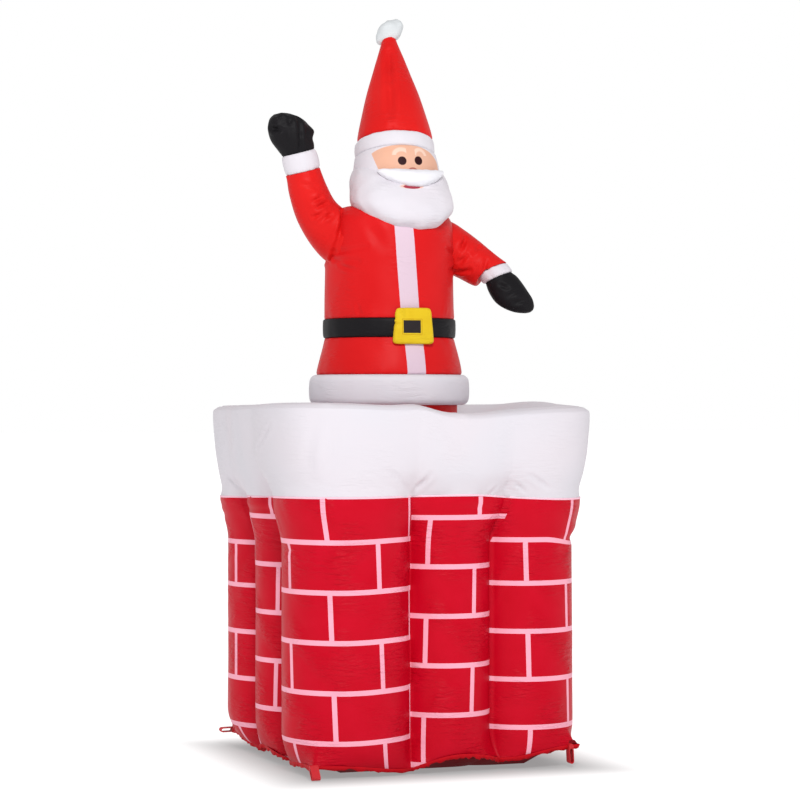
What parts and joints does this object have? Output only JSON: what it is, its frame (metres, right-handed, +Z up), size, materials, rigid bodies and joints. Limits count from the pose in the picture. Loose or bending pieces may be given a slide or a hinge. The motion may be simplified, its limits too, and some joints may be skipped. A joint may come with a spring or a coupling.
{
  "type": "inflatable santa",
  "caption": "Air-filled cloth Santa waving from a square brick-print chimney with a puffed snow cap and peg loops at its base corners.",
  "frame": {"origin": "on the floor, under the middle of the chimney", "axes": "+Z up, -Y is the front that Santa and the chimney's front face look along, +X is the side of the lowered arm"},
  "size_m": [0.7922, 0.7977, 1.8099],
  "materials": {
    "brick_print": "satin",
    "red_cloth": "satin",
    "white_cloth": "satin",
    "black_cloth": "satin",
    "yellow_cloth": "satin",
    "face_print": "satin",
    "red_webbing": "matte"
  },
  "bodies": {
    "root": {"chimney": "brick_print", "snow_cap": "white_cloth", "trunk": "red_cloth", "coat_hem": "white_cloth", "coat_skirt": "red_cloth", "belt": "black_cloth", "buckle": "yellow_cloth", "coat": "red_cloth", "sleeve_right": "red_cloth", "cuff_right": "white_cloth", "glove_right": "black_cloth", "sleeve_left": "red_cloth", "cuff_left": "white_cloth", "glove_left": "black_cloth", "head": "face_print", "beard": "white_cloth", "moustache": "white_cloth", "hat_band": "white_cloth", "hat": "red_cloth", "pompom": "white_cloth", "tether_loop_1": "red_webbing", "tether_loop_2": "red_webbing", "tether_loop_3": "red_webbing", "tether_loop_4": "red_webbing"}
  },
  "joints": []
}
